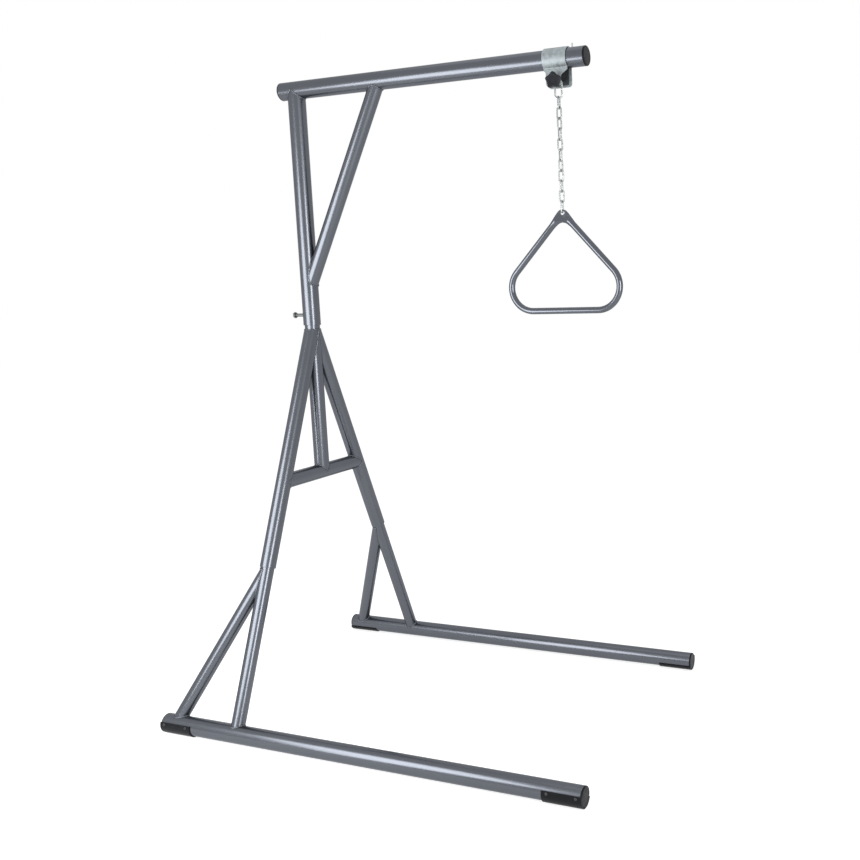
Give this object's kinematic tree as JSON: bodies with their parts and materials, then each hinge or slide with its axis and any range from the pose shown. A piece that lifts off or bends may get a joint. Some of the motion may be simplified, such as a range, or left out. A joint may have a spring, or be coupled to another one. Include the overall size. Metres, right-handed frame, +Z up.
{
  "type": "freestanding trapeze",
  "caption": "Freestanding bed trapeze: floor rails carry an A-frame and a swivelling mast with a braced boom, whose sliding clamp hangs a chain and a triangular pull handle.",
  "frame": {"origin": "on the floor, under the middle of the rails", "axes": "+X forward along the rails and the boom, +Y to the left, +Z up"},
  "size_m": [1.2926, 0.9498, 1.8504],
  "materials": {
    "frame_paint": "glossy metallic grey powder coat",
    "black_plastic": "satin black moulded plastic",
    "black_steel": "blackened steel screws",
    "zinc": "bright zinc plate",
    "galvanised": "dull galvanised sheet, lightly mottled"
  },
  "bodies": {
    "a_frame": {"left_upper_leg": "frame_paint", "right_upper_leg": "frame_paint", "crossbar": "frame_paint", "centre_post": "frame_paint"},
    "left_base": {"left_rail": "frame_paint", "left_lower_leg": "frame_paint", "left_side_brace": "frame_paint", "left_rail_front_plug": "black_plastic", "left_rail_rear_plug": "black_plastic", "left_front_pad": "black_plastic", "left_rear_pad": "black_plastic", "left_front_pad_outer_screw_1": "black_steel", "left_front_pad_outer_screw_2": "black_steel", "left_front_pad_inner_screw_1": "black_steel", "left_front_pad_inner_screw_2": "black_steel", "left_rear_pad_outer_screw_1": "black_steel", "left_rear_pad_outer_screw_2": "black_steel", "left_rear_pad_inner_screw_1": "black_steel", "left_rear_pad_inner_screw_2": "black_steel"},
    "right_base": {"right_rail": "frame_paint", "right_lower_leg": "frame_paint", "right_side_brace": "frame_paint", "right_rail_front_plug": "black_plastic", "right_rail_rear_plug": "black_plastic", "right_front_pad": "black_plastic", "right_rear_pad": "black_plastic", "right_front_pad_outer_screw_1": "black_steel", "right_front_pad_outer_screw_2": "black_steel", "right_front_pad_inner_screw_1": "black_steel", "right_front_pad_inner_screw_2": "black_steel", "right_rear_pad_outer_screw_1": "black_steel", "right_rear_pad_outer_screw_2": "black_steel", "right_rear_pad_inner_screw_1": "black_steel", "right_rear_pad_inner_screw_2": "black_steel"},
    "mast_and_boom": {"mast": "frame_paint", "boom": "frame_paint", "boom_brace": "frame_paint", "boom_front_plug": "black_plastic", "boom_rear_plug": "black_plastic", "boom_stop_pin": "zinc"},
    "lock_bolt": {"mast_lock_bolt": "zinc"},
    "clamp": {"boom_clamp": "galvanised", "clamp_nut": "zinc"},
    "washer": {"knob_washer": "zinc"},
    "knob": {"clamp_knob": "black_plastic", "clamp_bolt": "zinc"},
    "top_link": {"top_link": "zinc"},
    "chain_link_01": {"chain_link_01": "zinc"},
    "chain_link_02": {"chain_link_02": "zinc"},
    "chain_link_03": {"chain_link_03": "zinc"},
    "chain_link_04": {"chain_link_04": "zinc"},
    "chain_link_05": {"chain_link_05": "zinc"},
    "chain_link_06": {"chain_link_06": "zinc"},
    "chain_link_07": {"chain_link_07": "zinc"},
    "chain_link_08": {"chain_link_08": "zinc"},
    "chain_link_09": {"chain_link_09": "zinc"},
    "chain_link_10": {"chain_link_10": "zinc"},
    "chain_link_11": {"chain_link_11": "zinc"},
    "handle": {"pull_handle": "frame_paint"}
  },
  "joints": [
    {"name": "left_base_pull", "type": "slide", "parent": "a_frame", "child": "left_base", "axis": [0, 0.3757, -0.9267], "range_m": [0, 0.11]},
    {"name": "right_base_pull", "type": "slide", "parent": "a_frame", "child": "right_base", "axis": [0, -0.3757, -0.9267], "range_m": [0, 0.11]},
    {"name": "mast_swivel", "type": "hinge", "parent": "a_frame", "child": "mast_and_boom", "pos_m": [-0.3985, 0, 1.132], "axis": [0, 0, 1], "continuous": true},
    {"name": "lock_bolt_turn", "type": "hinge", "parent": "mast_and_boom", "child": "lock_bolt", "pos_m": [-0.3985, 0, 1.1625], "axis": [-1, 0, 0], "range_deg": [0, 1080]},
    {"name": "clamp_slide", "type": "slide", "parent": "mast_and_boom", "child": "clamp", "axis": [1, 0, 0], "range_m": [-0.5, 0.007]},
    {"name": "knob_travel", "type": "slide", "parent": "clamp", "child": "washer", "axis": [0, -1, 0], "range_m": [0, 0.00251]},
    {"name": "knob_turn", "type": "hinge", "parent": "washer", "child": "knob", "pos_m": [0.438, 0, 1.7557], "axis": [0, -1, 0], "range_deg": [0, 720]},
    {"name": "top_link_swing", "type": "hinge", "parent": "clamp", "child": "top_link", "pos_m": [0.438, 0, 1.7557], "axis": [0, 1, 0], "range_deg": [-20, 20]},
    {"name": "chain_link_01_swing", "type": "hinge", "parent": "top_link", "child": "chain_link_01", "pos_m": [0.438, 0, 1.71505], "axis": [1, 0, 0], "range_deg": [-15, 15]},
    {"name": "chain_link_02_swing", "type": "hinge", "parent": "chain_link_01", "child": "chain_link_02", "pos_m": [0.438, 0, 1.689], "axis": [0, 1, 0], "range_deg": [-15, 15]},
    {"name": "chain_link_03_swing", "type": "hinge", "parent": "chain_link_02", "child": "chain_link_03", "pos_m": [0.438, 0, 1.6623], "axis": [0.9945, -0.1045, 0], "range_deg": [-15, 15]},
    {"name": "chain_link_04_swing", "type": "hinge", "parent": "chain_link_03", "child": "chain_link_04", "pos_m": [0.438, 0, 1.6356], "axis": [0.4384, 0.8988, 0], "range_deg": [-15, 15]},
    {"name": "chain_link_05_swing", "type": "hinge", "parent": "chain_link_04", "child": "chain_link_05", "pos_m": [0.438, 0, 1.6089], "axis": [0.809, -0.5878, 0], "range_deg": [-15, 15]},
    {"name": "chain_link_06_swing", "type": "hinge", "parent": "chain_link_05", "child": "chain_link_06", "pos_m": [0.438, 0, 1.5822], "axis": [0.6561, 0.7547, 0], "range_deg": [-15, 15]},
    {"name": "chain_link_07_swing", "type": "hinge", "parent": "chain_link_06", "child": "chain_link_07", "pos_m": [0.438, 0, 1.5555], "axis": [0.766, -0.6428, 0], "range_deg": [-15, 15]},
    {"name": "chain_link_08_swing", "type": "hinge", "parent": "chain_link_07", "child": "chain_link_08", "pos_m": [0.438, 0, 1.5288], "axis": [0.342, 0.9397, 0], "range_deg": [-15, 15]},
    {"name": "chain_link_09_swing", "type": "hinge", "parent": "chain_link_08", "child": "chain_link_09", "pos_m": [0.438, 0, 1.5021], "axis": [0.9976, -0.0698, 0], "range_deg": [-15, 15]},
    {"name": "chain_link_10_swing", "type": "hinge", "parent": "chain_link_09", "child": "chain_link_10", "pos_m": [0.438, 0, 1.4754], "axis": [0, 1, 0], "range_deg": [-15, 15]},
    {"name": "chain_link_11_swing", "type": "hinge", "parent": "chain_link_10", "child": "chain_link_11", "pos_m": [0.438, 0, 1.4487], "axis": [1, 0, 0], "range_deg": [-15, 15]},
    {"name": "handle_swing", "type": "hinge", "parent": "chain_link_11", "child": "handle", "pos_m": [0.438, 0, 1.422], "axis": [0, 1, 0], "range_deg": [-20, 20]}
  ],
  "couplings": [
    {"joint": "knob_travel", "follows": "knob_turn", "m_per_rad": 0.00019894}
  ]
}
